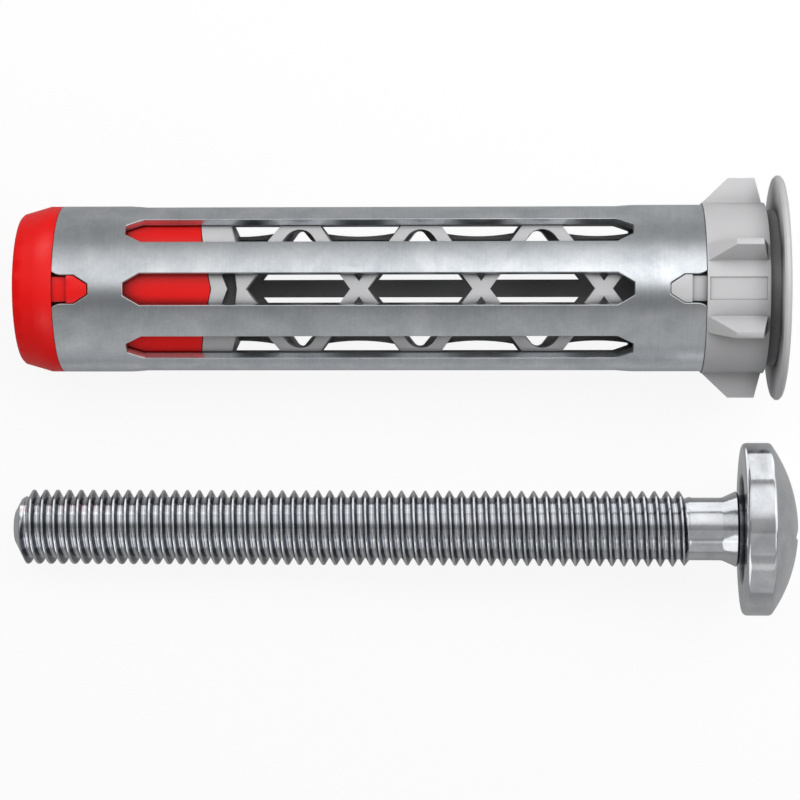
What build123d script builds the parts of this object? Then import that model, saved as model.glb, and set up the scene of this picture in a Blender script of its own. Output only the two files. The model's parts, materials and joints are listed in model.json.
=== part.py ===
from build123d import *
import math
import os

# Hollow wall anchor with its machine screw beside it. Millimetres.
# The anchor is a slotted sheet steel sleeve. A nose cap with a captive nut closes its front end, and a
# moulded lattice cage with a finned collar and a flange fills the rest and closes its rear end.
# Each piece is modelled straight along X, with its front end at x = 0 and its crown line towards +Z.
# The anchor and the screw are then laid side by side on the plane z = 0, each on its own two contact points.

# Sleeve: one sheet, slotted and notched, then rolled into a tube
sleeve_radius = 5.45
sheet_thickness = 0.5
sleeve_length = 41.9
slot_count = 8
slot_width = 2.05
slot_tip_width = 0.8
slot_tip_run = 1.05
slot_end_margin = 4.6
seam_gap = 0.12
notch_depth = 2.33
notch_width = 1.85
notch_mouth_width = 2.3
notch_mouth_run = 0.65
notch_tip_width = 0.7
notch_tip_run = 0.9

# Fits between the pieces of the anchor
slide_gap = 0.05
tab_gap = 0.04
seat_gap = 0.05

# Nose cap
cap_head_length = 2.65
cap_land_length = 0.8
cap_nose_radius = 4.96
cap_nose_round = 0.17
cap_floor = 2.7
skirt_length = 10.2
roof_slope = 0.21
tab_neck_width = 1.6
tab_neck_length = 0.95
tab_neck_drop = 0.22

# Nut, and the thread that it shares with the screw
thread_radius = 2.5
thread_depth = 0.4
nut_across_flats = 7.4
nut_length = 9.0
nut_corner_chamfer = 0.35
pocket_gap = 0.05
exit_gap = 0.25

# Lattice of the cage: nodes on the crown and keel lines, and nodes half a pitch on at the sides
cage_bore_radius = 3.2
ring_length = 1.71
ring_back_lag = 0.81
ring_back_slope = 0.34
node_pitch = 7.82
crown_node_count = 4
node_waist = 1.12
arm_slope = 0.735
arm_width = 0.92
crown_arch_radius = 1.05
lattice_tail = 3.17
groove_width = 0.64
groove_depth = 0.35
groove_front_slope = 0.38
groove_back_slope = 0.13
groove_reach = 1.15

# Keel side of the lattice, where a spine runs from end to end
keel_lead = 0.25
keel_waist = 1.18
keel_slope = 0.81
keel_arch_radius = 0.48
spine_width = 1.18
scallop_floor = 3.43
scallop_radius = 12.5

# Collar, fins, neck and flange of the cage
collar_radius = 5.58
collar_length = 4.0
screw_gap = 0.5
bore_lead_in = 0.35
neck_radius = 5.1
neck_length = 0.7
flange_radius = 7.34
flange_thickness = 0.45
flange_rim_chamfer = 0.14
crown_fin_angle = 24.4
side_fin_angle = 90
fin_tip_radius = 7.18
fin_tip_width = 0.42
fin_base_width = 1.2
fin_ramp_run = 1.75
fin_tip_length = 1.7
fin_heel_run = 0.4
fin_root_depth = 0.08
panel_length = 3.65
panel_width = 1.46
panel_depth = 0.12
panel_inset = 0.15

# Screw
screw_length = 48.5
thread_length = 43.9
point_radius = 1.15
point_length = 0.75
shank_radius = 2.07
flare_length = 1.2
head_radius = 5.7
head_side_height = 2.05
dome_height = 1.62
head_chamfer = 0.22
relief_radius = 3.5
relief_depth = 0.18
recess_span = 4.6
recess_wing = 1.0
recess_depth = 2.3
recess_taper = 9

# How the two pieces lie
axis_spacing = 15.87
anchor_roll = 2.66
screw_roll = 20
nose_stagger = 1.0

# Stations along the anchor's axis
sleeve_front = cap_head_length
sleeve_back = sleeve_front + sleeve_length
skirt_apex = sleeve_front + skirt_length
first_node = skirt_apex + ring_length
last_node = first_node + (crown_node_count - 1) * node_pitch
lattice_end = last_node + lattice_tail
collar_back = sleeve_back + collar_length
flange_front = collar_back + neck_length
anchor_length = flange_front + flange_thickness

# Radii that follow from the sleeve
sleeve_bore_radius = sleeve_radius - sheet_thickness
core_radius = sleeve_bore_radius - slide_gap
screw_bore_radius = thread_radius + screw_gap

# Stations along the screw's axis
thread_end = point_length + thread_length
dome_base = screw_length + head_side_height
screw_total = dome_base + dome_height


def slot_outline(start, end, width, tip_width, tip_run):
    """Closed outline of a slot along X whose two ends taper to a flat tip."""
    Polyline(
        (start, 0),
        (start, tip_width / 2),
        (start + tip_run, width / 2),
        (end - tip_run, width / 2),
        (end, tip_width / 2),
        (end, 0),
    )
    mirror(about=Plane.XZ)


def notch_outline(mouth_x, depth, inward):
    """Closed outline of an end notch: a rounded mouth, parallel sides and a tip tapering to a flat."""
    throat = mouth_x + inward * notch_mouth_run
    shoulder = mouth_x + inward * (depth - notch_tip_run)
    outside = mouth_x - inward * notch_mouth_run
    Polyline((outside, 0), (outside, notch_mouth_width / 2), (mouth_x, notch_mouth_width / 2))
    RadiusArc((mouth_x, notch_mouth_width / 2), (throat, notch_width / 2), inward * mouth_curve_radius)
    Polyline(
        (throat, notch_width / 2),
        (shoulder, notch_width / 2),
        (mouth_x + inward * depth, notch_tip_width / 2),
        (mouth_x + inward * depth, 0),
    )
    mirror(about=Plane.XZ)


# The mouth's curve leaves the notch's side without a corner and meets the end of the sleeve
mouth_drop = (notch_mouth_width - notch_width) / 2
mouth_curve_radius = (notch_mouth_run**2 + mouth_drop**2) / (2 * mouth_drop)

slot_planes = [
    Plane(origin=(0, 0, 0), x_dir=(1, 0, 0), z_dir=(0, math.sin(angle), math.cos(angle)))
    for angle in (2 * math.pi * step / slot_count for step in range(slot_count))
]

with BuildPart() as sleeve:
    with BuildSketch(Plane.XY):
        with Locations((sleeve_front, sleeve_bore_radius)):
            Rectangle(sleeve_length, sheet_thickness, align=(Align.MIN, Align.MIN))
    revolve(axis=Axis.X)
    with BuildSketch(*slot_planes):
        with BuildLine():
            slot_outline(
                sleeve_front + slot_end_margin,
                sleeve_back - slot_end_margin,
                slot_width,
                slot_tip_width,
                slot_tip_run,
            )
        make_face()
    extrude(amount=2 * sleeve_radius, mode=Mode.SUBTRACT)
    with BuildSketch(Plane.XY):
        with BuildLine():
            notch_outline(sleeve_front, notch_depth, 1)
        make_face()
        with BuildLine():
            notch_outline(sleeve_back, notch_depth, -1)
        make_face()
    extrude(amount=2 * sleeve_radius, both=True, mode=Mode.SUBTRACT)
    # The two edges of the rolled sheet meet along the keel line
    with BuildSketch(Plane.XY):
        with Locations((sleeve_front, 0)):
            Rectangle(sleeve_length, seam_gap, align=(Align.MIN, Align.CENTER))
    extrude(amount=-2 * sleeve_radius, mode=Mode.SUBTRACT)


with BuildPart() as notch_tabs:
    # Two arrow-headed tabs for the front notches, cut from a ring as thick as the sheet
    tab_tip = sleeve_front + notch_depth - tab_gap
    tab_head_start = sleeve_front + tab_neck_length
    with BuildSketch(Plane.XY):
        with BuildLine():
            Polyline(
                (sleeve_front - tab_gap, core_radius - slide_gap),
                (sleeve_front - tab_gap, sleeve_radius - tab_neck_drop),
                (tab_head_start, sleeve_radius - tab_neck_drop),
                (tab_head_start, sleeve_radius),
                (tab_tip, sleeve_radius),
                (tab_tip, core_radius - slide_gap),
                close=True,
            )
        make_face()
    revolve(axis=Axis.X)
    with BuildSketch(Plane.XY):
        with BuildLine():
            Polyline(
                (sleeve_front - tab_gap, 0),
                (sleeve_front - tab_gap, tab_neck_width / 2),
                (tab_head_start, tab_neck_width / 2),
                (tab_head_start, notch_width / 2 - tab_gap),
                (tab_tip - notch_tip_run, notch_width / 2 - tab_gap),
                (tab_tip, notch_tip_width / 2 - tab_gap),
                (tab_tip, 0),
            )
            mirror(about=Plane.XZ)
        make_face()
    extrude(amount=2 * sleeve_radius, both=True, mode=Mode.INTERSECT)


def roof_outline(apex, reach):
    """Closed outline of everything behind a ridge whose two sides fall forwards away from the axis."""
    Polyline((apex, 0), (apex - roof_slope * reach, reach), (anchor_length, reach), (anchor_length, 0))
    mirror(about=Plane.XZ)


with BuildPart() as end_cap:
    chamfer_end = cap_head_length - cap_land_length
    with BuildSketch(Plane.XY):
        with BuildLine():
            Polyline(
                (0, 0),
                (0, cap_nose_radius - cap_nose_round),
                (cap_nose_round, cap_nose_radius),
                (chamfer_end, sleeve_radius),
                (sleeve_front, sleeve_radius),
                (sleeve_front, core_radius),
                (skirt_apex, core_radius),
                (skirt_apex, 0),
                close=True,
            )
        make_face()
    revolve(axis=Axis.X)
    add(notch_tabs.part)
    with BuildSketch(Plane.YZ.offset(cap_floor)):
        RegularPolygon(nut_across_flats / 2 + pocket_gap, 6, major_radius=False)
    extrude(amount=skirt_apex, mode=Mode.SUBTRACT)
    with BuildSketch(Plane.YZ):
        Circle(thread_radius + exit_gap)
    extrude(amount=cap_floor, mode=Mode.SUBTRACT)
    with BuildSketch(Plane.XY):
        with BuildLine():
            roof_outline(skirt_apex, 2 * sleeve_radius)
        make_face()
    extrude(amount=2 * sleeve_radius, both=True, mode=Mode.SUBTRACT)


with BuildPart() as nut:
    nut_corner_radius = nut_across_flats / math.sqrt(3)
    with BuildSketch(Plane.YZ.offset(cap_floor)):
        RegularPolygon(nut_across_flats / 2, 6, major_radius=False)
    extrude(amount=nut_length)
    # Both ends are turned to a cone, which takes off the tips of the hexagon
    with BuildSketch(Plane.XY):
        with BuildLine():
            Polyline(
                (cap_floor, 0),
                (cap_floor, nut_corner_radius - nut_corner_chamfer),
                (cap_floor + nut_corner_chamfer, nut_corner_radius),
                (cap_floor + nut_length - nut_corner_chamfer, nut_corner_radius),
                (cap_floor + nut_length, nut_corner_radius - nut_corner_chamfer),
                (cap_floor + nut_length, 0),
                close=True,
            )
        make_face()
    revolve(axis=Axis.X, mode=Mode.INTERSECT)
    with BuildSketch(Plane.YZ.offset(cap_floor)):
        Circle(thread_radius - thread_depth)
    extrude(amount=nut_length, mode=Mode.SUBTRACT)
    chamfer(nut.edges().filter_by(GeomType.CIRCLE).sort_by(SortBy.RADIUS)[:2], length=thread_depth)


def diamond(waist, slope, arch_radius):
    """Opening between two nodes that stand in line, centred on its middle, with an arch towards each side."""
    half_length = (node_pitch - waist) / 2
    half_width = half_length / slope
    with BuildSketch(Plane.XY) as opening:
        with BuildLine():
            Polyline((-half_length, 0), (0, half_width), (half_length, 0), (0, -half_width), close=True)
        make_face()
        fillet(opening.vertices().filter_by(lambda v: abs(v.Y) > half_width / 2), radius=arch_radius)
    return opening.sketch


def side_wedge(side):
    """Outline of a side opening beside a crown node at x = 0: it widens from the node to past the wall."""
    apex = (arm_width - node_waist / 2) / arm_slope
    reach = 2 * core_radius
    half_reach = (reach - apex) * arm_slope
    Polyline((0, side * apex), (half_reach, side * reach), (-half_reach, side * reach), close=True)


def lattice_window():
    """Outline of the stretch where side openings may be, from the front ring's back to the rear tube."""
    front = first_node + ring_back_lag
    reach = 2 * core_radius
    Polyline((front, 0), (front - ring_back_slope * reach, reach), (lattice_end, reach), (lattice_end, 0))
    mirror(about=Plane.XZ)


crown_nodes = [(first_node + step * node_pitch, 0) for step in range(crown_node_count)]
crown_centres = [(x + node_pitch / 2, 0) for x, _ in crown_nodes]

with BuildSketch(Plane.XY) as side_wedges:
    with BuildSketch(Plane.XY, mode=Mode.PRIVATE) as one_wedge_pair:
        for wedge_side in (1, -1):
            with BuildLine():
                side_wedge(wedge_side)
            make_face()
    with Locations(*crown_nodes):
        add(one_wedge_pair.sketch)
    with BuildLine():
        lattice_window()
    make_face(mode=Mode.INTERSECT)

with BuildSketch(Plane.XY) as upper_openings:
    with Locations(*crown_centres):
        add(diamond(node_waist, arm_slope, crown_arch_radius))
    with Locations((lattice_end, 0)):
        Rectangle(sleeve_length, sleeve_length, align=(Align.MIN, Align.CENTER), mode=Mode.SUBTRACT)
    add(side_wedges.sketch)

# On the keel side the wedges are open only beyond a shallow scalloped edge
with BuildSketch(Plane.XY) as scallops:
    for scallop_side in (1, -1):
        with Locations(*[(x, scallop_side * (scallop_floor + scallop_radius)) for x, _ in crown_nodes]):
            Circle(scallop_radius)
    add(side_wedges.sketch, mode=Mode.INTERSECT)

with BuildSketch(Plane.XY) as lower_openings:
    with Locations(*crown_centres[:-1]):
        add(diamond(keel_waist, keel_slope, keel_arch_radius))
    with Locations(crown_centres[0]):
        Rectangle(2 * sleeve_length, spine_width, mode=Mode.SUBTRACT)
    add(scallops.sketch)


with BuildPart() as flanged_cage:
    ring_front = skirt_apex + seat_gap - roof_slope * core_radius
    with BuildSketch(Plane.XY):
        with BuildLine():
            Polyline(
                (ring_front, 0),
                (ring_front, core_radius),
                (sleeve_back, core_radius),
                (sleeve_back, collar_radius),
                (collar_back, collar_radius),
                (collar_back, neck_radius),
                (flange_front, neck_radius),
                (flange_front, flange_radius),
                (anchor_length, flange_radius),
                (anchor_length, 0),
                close=True,
            )
        make_face()
    revolve(axis=Axis.X)
    chamfer(
        flanged_cage.edges().filter_by(GeomType.CIRCLE).sort_by(SortBy.RADIUS)[-2:],
        length=flange_rim_chamfer,
    )
    # Rear tabs: the front ones seen in a mirror that stands at the middle of the sleeve
    add(notch_tabs.part.mirror(Plane.YZ.offset(sleeve_front + sleeve_length / 2)))
    # Six fins, tapered on all sides from root to tip
    fin_root_radius = collar_radius - fin_root_depth
    for fin_angle in (crown_fin_angle, side_fin_angle, 180 - crown_fin_angle):
        for fin_side in (1, -1):
            turn = math.radians(fin_side * fin_angle)
            fin_plane = Plane(
                origin=(sleeve_back, 0, 0), x_dir=(1, 0, 0), z_dir=(0, math.sin(turn), math.cos(turn))
            )
            fin_root_length = fin_ramp_run + fin_tip_length + fin_heel_run
            with BuildSketch(fin_plane.offset(fin_root_radius)):
                Rectangle(fin_root_length, fin_base_width, align=(Align.MIN, Align.CENTER))
            with BuildSketch(fin_plane.offset(fin_tip_radius)):
                with Locations((fin_ramp_run, 0)):
                    Rectangle(fin_tip_length, fin_tip_width, align=(Align.MIN, Align.CENTER))
            loft(ruled=True)
    with BuildSketch(Plane.XY.offset(collar_radius - panel_depth)):
        with Locations((sleeve_back + panel_inset, 0)):
            Rectangle(panel_length, panel_width, align=(Align.MIN, Align.CENTER))
    extrude(amount=collar_radius, mode=Mode.SUBTRACT)
    # Bore: wide inside the cage, close to the screw in the collar
    with BuildSketch(Plane.YZ):
        Circle(cage_bore_radius)
    extrude(amount=sleeve_back, mode=Mode.SUBTRACT)
    with BuildSketch(Plane.YZ):
        Circle(screw_bore_radius)
    extrude(amount=anchor_length, mode=Mode.SUBTRACT)
    chamfer(
        flanged_cage.faces().sort_by(Axis.X)[-1].inner_wires().edges(),
        length=bore_lead_in,
    )
    # The front ring is seated behind the ridged end of the cap's skirt
    with BuildSketch(Plane.XY):
        with BuildLine():
            roof_outline(skirt_apex + seat_gap, 2 * sleeve_radius)
        make_face()
    extrude(amount=2 * sleeve_radius, both=True, mode=Mode.INTERSECT)
    # Openings of the lattice, drawn from above for the upper half and from below for the lower half
    add(upper_openings.sketch)
    extrude(amount=2 * core_radius, mode=Mode.SUBTRACT)
    add(Pos(-keel_lead, 0, 0) * lower_openings.sketch)
    extrude(amount=-2 * core_radius, mode=Mode.SUBTRACT)
    # Shallow zigzag groove between the front ring and the first node
    with BuildSketch(Plane.XY.offset(core_radius - groove_depth), Plane.XY.offset(groove_depth - core_radius)):
        with BuildLine():
            Polyline(
                (first_node - groove_width, 0),
                (first_node - groove_width - groove_front_slope * groove_reach, groove_reach),
                (first_node - groove_back_slope * groove_reach, groove_reach),
                (first_node, 0),
            )
            mirror(about=Plane.XZ)
        make_face()
    extrude(amount=groove_depth, both=True, mode=Mode.SUBTRACT)


with BuildPart() as screw:
    with BuildSketch(Plane.XY):
        with BuildLine():
            dome_radius = ((head_radius - head_chamfer) ** 2 + dome_height**2) / (2 * dome_height)
            Polyline(
                (0, 0),
                (0, point_radius),
                (point_length, thread_radius),
                (thread_end, thread_radius),
                (thread_end, shank_radius),
                (screw_length - flare_length, shank_radius),
                (screw_length + relief_depth, thread_radius),
                (screw_length + relief_depth, relief_radius),
                (screw_length, relief_radius + relief_depth),
                (screw_length, head_radius - head_chamfer),
                (screw_length + head_chamfer, head_radius),
                (dome_base - head_chamfer, head_radius),
                (dome_base, head_radius - head_chamfer),
            )
            RadiusArc((dome_base, head_radius - head_chamfer), (screw_total, 0), dome_radius)
            Line((screw_total, 0), (0, 0))
        make_face()
    revolve(axis=Axis.X)
    # Cross recess, narrowing from the dome to its floor
    with BuildSketch(Plane.YZ.offset(screw_total)):
        Rectangle(recess_span, recess_wing)
        Rectangle(recess_wing, recess_span)
    extrude(amount=-recess_depth, taper=recess_taper, mode=Mode.SUBTRACT)


def rest_tilt(toe_x, toe_radius, rim_x, rim_radius):
    """Angle in degrees between floor and axis when the toe's corner and the rim's corner both touch down."""
    return math.degrees(math.atan2(rim_radius - toe_radius, rim_x - toe_x))


def resting_place(tilt, roll, toe_x, toe_radius, x, y):
    """Location that rolls a piece about its axis, tilts it and stands its toe on the floor."""
    slope = math.radians(tilt)
    lift = (toe_radius - toe_x * math.tan(slope)) * math.cos(slope)
    return Pos(x, y, lift) * Rot(0, -tilt, 0) * Rot(roll, 0, 0)


# Layout: both noses point to -X, and the pair is centred on the origin
layout_width = flange_radius + axis_spacing + head_radius
anchor_y = layout_width / 2 - flange_radius
screw_y = head_radius - layout_width / 2
anchor_tilt = rest_tilt(chamfer_end, sleeve_radius, flange_front + flange_rim_chamfer, flange_radius)
screw_tilt = rest_tilt(point_length, thread_radius, screw_length + head_chamfer, head_radius)
anchor_place = resting_place(anchor_tilt, anchor_roll, chamfer_end, sleeve_radius, nose_stagger, anchor_y)
screw_place = resting_place(screw_tilt, screw_roll, point_length, thread_radius, 0, screw_y)
pair_box = Compound([anchor_place * flanged_cage.part, screw_place * screw.part]).bounding_box()
to_centre = Pos(-pair_box.center().X, 0, 0)
anchor_place = to_centre * anchor_place
screw_place = to_centre * screw_place

os.makedirs("parts", exist_ok=True)

sleeve.part.locate(anchor_place)
sleeve.part.label = "sleeve"
export_step(sleeve.part, "parts/sleeve.step")

end_cap.part.locate(anchor_place)
end_cap.part.label = "end_cap"
export_step(end_cap.part, "parts/end_cap.step")

nut.part.locate(anchor_place)
nut.part.label = "nut"
export_step(nut.part, "parts/nut.step")

flanged_cage.part.locate(anchor_place)
flanged_cage.part.label = "flanged_cage"
export_step(flanged_cage.part, "parts/flanged_cage.step")

screw.part.locate(screw_place)
screw.part.label = "screw"
export_step(screw.part, "parts/screw.step")
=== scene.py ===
"""Looks of a metal hollow wall anchor and its machine screw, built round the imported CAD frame.

The nose cap and the flanged cage keep their CAD solids, and get softened edges and their finish. The sleeve
is made again here from a flat strip, and so are the screw and the nut, with their threads. Sizes are in
millimetres and angles in degrees, except where a name or a docstring says otherwise.
"""

import json
import logging
import math
from dataclasses import dataclass
from enum import Enum
from typing import Callable

import bmesh
import bpy
from bmesh.types import BMesh, BMVert
from bpy.types import Material, Node, NodeSocket, NodeTree, Object
from mathutils import Matrix, Vector


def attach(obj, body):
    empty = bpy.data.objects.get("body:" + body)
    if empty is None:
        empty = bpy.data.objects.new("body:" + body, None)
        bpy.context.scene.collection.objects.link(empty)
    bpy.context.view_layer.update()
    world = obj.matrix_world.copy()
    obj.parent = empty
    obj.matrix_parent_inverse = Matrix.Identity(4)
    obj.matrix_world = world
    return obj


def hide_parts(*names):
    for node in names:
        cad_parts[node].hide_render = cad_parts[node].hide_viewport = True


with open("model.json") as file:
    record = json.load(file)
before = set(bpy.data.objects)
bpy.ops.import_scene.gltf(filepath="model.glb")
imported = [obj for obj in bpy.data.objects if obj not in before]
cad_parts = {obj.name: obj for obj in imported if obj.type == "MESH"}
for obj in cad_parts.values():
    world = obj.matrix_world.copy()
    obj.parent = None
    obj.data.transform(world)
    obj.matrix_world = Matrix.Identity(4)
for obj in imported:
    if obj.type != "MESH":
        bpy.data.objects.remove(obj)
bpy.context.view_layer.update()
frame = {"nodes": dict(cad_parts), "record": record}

LOG = logging.getLogger("hollow_wall_anchor")
MM = 0.001
WELD_MM = 0.0005
ROOT_BODY = "root"

Pair = tuple[float, float]
Points = list[Pair]

# Pairs of a Map Range node's inputs, and its two usual results.
SPAN = ("From Min", "From Max")
RESULT = ("To Min", "To Max")
RISE = (0.0, 1.0)
FALL = (1.0, 0.0)


class Slot(Enum):
    """Names of two of the record's material slots; nothing in the script uses them."""

    SHEET = "galvanised_sheet"
    ZINC = "zinc_plated_steel"


def linear(hex_code: str) -> tuple[float, float, float, float]:
    """Turns an sRGB hex colour into linear red, green, blue and alpha.

    Args:
        hex_code: Six hex digits, such as "C8CDD0".

    Returns:
        The linear colour with an alpha of 1.
    """
    parts = [int(hex_code[i : i + 2], 16) / 255 for i in (0, 2, 4)]
    red, green, blue = [c / 12.92 if c <= 0.04045 else ((c + 0.055) / 1.055) ** 2.4 for c in parts]
    return red, green, blue, 1.0


def add(tree: NodeTree, kind: str, inputs: dict | None = None, **settings) -> Node:
    """Adds a node, sets its properties, and sets or links its inputs.

    Args:
        tree: The node tree that gets the node.
        kind: Blender's name of the node's type.
        inputs: Socket name or number to a value, or to an output socket that is linked to it. A tuple of
            sockets goes with a tuple of values.
        **settings: The node's own properties.

    Returns:
        The new node.
    """
    made = tree.nodes.new(kind)
    for name, value in settings.items():
        setattr(made, name, value)
    for key, given in (inputs or {}).items():
        for socket, value in zip(key, given) if isinstance(key, tuple) else [(key, given)]:
            if isinstance(value, NodeSocket):
                tree.links.new(value, made.inputs[socket])
            else:
                made.inputs[socket].default_value = value
    return made


def mount(name: str) -> dict:
    """Gives a mount of the record by its name."""
    return next(m for m in frame["record"]["mounts"] if m["name"] == name)


@dataclass(frozen=True)
class AxisFrame:
    """Where a straight piece lies: x runs along its axis from its front end, and roll turns it about x."""

    origin: Vector
    direction: Vector
    roll: float

    @classmethod
    def from_mount(cls, name: str, station_mm: float, sense: int, roll: float) -> "AxisFrame":
        """Works the frame out from a round mount of the record.

        Args:
            name: The mount's name.
            station_mm: Distance from the piece's front end to the mount's point, along the axis.
            sense: 1 if the mount's axis points to the piece's back end, and -1 if to its front end.
            roll: Degrees by which the piece is turned about its axis.

        Returns:
            The frame of the piece.
        """
        found = mount(name)
        direction = Vector(found["axis"]).normalized() * sense
        origin = Vector(found["pos_m"]) - direction * station_mm * MM
        return cls(origin, direction, math.radians(roll))

    @property
    def tilt(self) -> float:
        """Angle in radians by which the axis rises towards the piece's back end."""
        return math.atan2(self.direction.z, self.direction.x)

    @property
    def matrix(self) -> Matrix:
        """Matrix from the straight frame to the row frame."""
        turn = Matrix.Rotation(-self.tilt, 4, "Y") @ Matrix.Rotation(self.roll, 4, "X")
        return Matrix.Translation(self.origin) @ turn


ANCHOR = AxisFrame.from_mount("nut_thread", station_mm=7.2, sense=1, roll=2.66)
SCREW = AxisFrame.from_mount("screw_thread", station_mm=22.7, sense=-1, roll=20.0)


@dataclass(frozen=True, kw_only=True)
class Finish:
    """What the finishes share: one shader, a range of roughness, a bump, and coordinates in millimetres."""

    name: str
    roughness: Pair
    bump_mm: float
    bump_strength: float = 0.3

    def build(self, place: AxisFrame) -> Material:
        """Builds the material for a piece.

        Args:
            place: Where the piece's axis lies in the row frame.

        Returns:
            The new material.
        """
        material = bpy.data.materials.new(self.name)
        material.use_nodes = True
        tree = material.node_tree
        tree.nodes.clear()
        shader = add(tree, "ShaderNodeBsdfPrincipled", self.surface(tree, self.millimetres(tree, place)))
        add(tree, "ShaderNodeOutputMaterial", {"Surface": shader.outputs["BSDF"]})
        return material

    def surface(self, tree: NodeTree, point: NodeSocket) -> dict:
        """Draws what the eye sees on the surface, which each finish does in its own way.

        Args:
            tree: The material's node tree.
            point: Coordinates in millimetres along and across the axis.

        Returns:
            The shader's inputs by name.
        """
        raise NotImplementedError

    def texture(self, tree: NodeTree, pattern: NodeSocket, span: Pair, height: NodeSocket) -> dict:
        """Turns two patterns into the shader's roughness and bump.

        Args:
            tree: The material's node tree.
            pattern: What the roughness follows.
            span: The pattern's values at the two ends of the range of roughness.
            height: What the bump follows.

        Returns:
            These two inputs of the shader by name.
        """
        rough = add(tree, "ShaderNodeMapRange", {"Value": pattern, SPAN: span, RESULT: self.roughness})
        bump = {"Height": height, "Distance": self.bump_mm * MM, "Strength": self.bump_strength}
        return {"Roughness": rough.outputs[0], "Normal": add(tree, "ShaderNodeBump", bump).outputs[0]}

    @staticmethod
    def painted_darker(tree: NodeTree, colour: NodeSocket, painted_shades: list[tuple[NodeSocket, str]]) -> NodeSocket:
        """Darkens a colour by painted shade.

        Args:
            tree: The material's node tree.
            colour: The colour without painted shade.
            painted_shades: Pairs of how far a painted shade covers a point, and its colour.

        Returns:
            The colour, darkened by painted shade.
        """
        for share, shade in painted_shades:
            inputs = {"Factor": share, "A": colour, "B": linear(shade)}
            mixed = add(tree, "ShaderNodeMix", inputs, data_type="RGBA", blend_type="MULTIPLY")
            colour = mixed.outputs["Result"]
        return colour

    @staticmethod
    def millimetres(tree: NodeTree, place: AxisFrame) -> NodeSocket:
        """Gives a point's coordinates in millimetres along and across the piece's axis.

        Args:
            tree: The material's node tree.
            place: Where the axis lies in the row frame.

        Returns:
            The coordinates.
        """
        inputs = {
            "Vector": add(tree, "ShaderNodeTexCoord").outputs["Object"],
            "Location": place.origin,
            "Rotation": (0.0, -place.tilt, 0.0),
            "Scale": (MM, MM, MM),
        }
        return add(tree, "ShaderNodeMapping", inputs, vector_type="TEXTURE").outputs["Vector"]

    @staticmethod
    def radius(tree: NodeTree, point: NodeSocket) -> NodeSocket:
        """Gives a point's distance from the axis, in millimetres.

        Args:
            tree: The material's node tree.
            point: Coordinates in millimetres along and across the axis.

        Returns:
            The distance.
        """
        across = add(tree, "ShaderNodeVectorMath", {0: point, 1: (0.0, 1.0, 1.0)}, operation="MULTIPLY")
        length = add(tree, "ShaderNodeVectorMath", {0: across.outputs["Vector"]}, operation="LENGTH")
        return length.outputs["Value"]


@dataclass(frozen=True, kw_only=True)
class ZincSurface(Finish):
    """What the two zinc finishes share: a dull and a pale grey, mixed by clouds and finer patterns."""

    pale: str
    dull: str
    cloud_mm: float
    cloud_span: Pair
    cloud_tone: Pair
    tube_radius_mm: float

    def unrolled(self, tree: NodeTree, point: NodeSocket, along: float, around: float) -> NodeSocket:
        """Unrolls a tube into a flat sheet, stretched for a pattern with long and short sides.

        Args:
            tree: The material's node tree.
            point: Coordinates in millimetres along and across the axis.
            along: Pattern cells per millimetre along the axis.
            around: Pattern cells per millimetre of arc.

        Returns:
            The coordinates on the sheet.
        """
        parts = add(tree, "ShaderNodeSeparateXYZ", {"Vector": point}).outputs
        angle = add(tree, "ShaderNodeMath", {0: parts["Y"], 1: parts["Z"]}, operation="ARCTAN2").outputs[0]
        arc = add(tree, "ShaderNodeMath", {0: angle, 1: self.tube_radius_mm * around}, operation="MULTIPLY")
        run = add(tree, "ShaderNodeMath", {0: parts["X"], 1: along}, operation="MULTIPLY")
        return add(tree, "ShaderNodeCombineXYZ", {"X": run.outputs[0], "Y": arc.outputs[0]}).outputs["Vector"]

    def marks(self, tree: NodeTree, point: NodeSocket, width_mm: float, length_mm: float) -> NodeSocket:
        """Draws fine marks of this width and length, which run around the axis."""
        stretched = self.unrolled(tree, point, 1 / width_mm, 1 / length_mm)
        return add(tree, "ShaderNodeTexNoise", {"Vector": stretched, "Scale": 1.0, "Detail": 2.0}).outputs[0]

    def greys(
        self, tree: NodeTree, cloud: NodeSocket, patterns: list[tuple[NodeSocket, float]]
    ) -> tuple[NodeSocket, NodeSocket]:
        """Mixes the two greys by the clouds and by finer patterns.

        Args:
            tree: The material's node tree.
            cloud: The clouds.
            patterns: Pairs of a finer pattern and its weight.

        Returns:
            The tone, from 0 for dull to 1 for pale, and the mixed grey.
        """
        spread = {"Value": cloud, SPAN: self.cloud_span, RESULT: self.cloud_tone}
        tone = add(tree, "ShaderNodeMapRange", spread).outputs[0]
        for pattern, weight in patterns:
            parts = {0: pattern, 1: weight, 2: tone}
            tone = add(tree, "ShaderNodeMath", parts, operation="MULTIPLY_ADD").outputs[0]
        mix = {"Factor": tone, "A": linear(self.dull), "B": linear(self.pale)}
        return tone, add(tree, "ShaderNodeMix", mix, data_type="RGBA").outputs["Result"]


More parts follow.
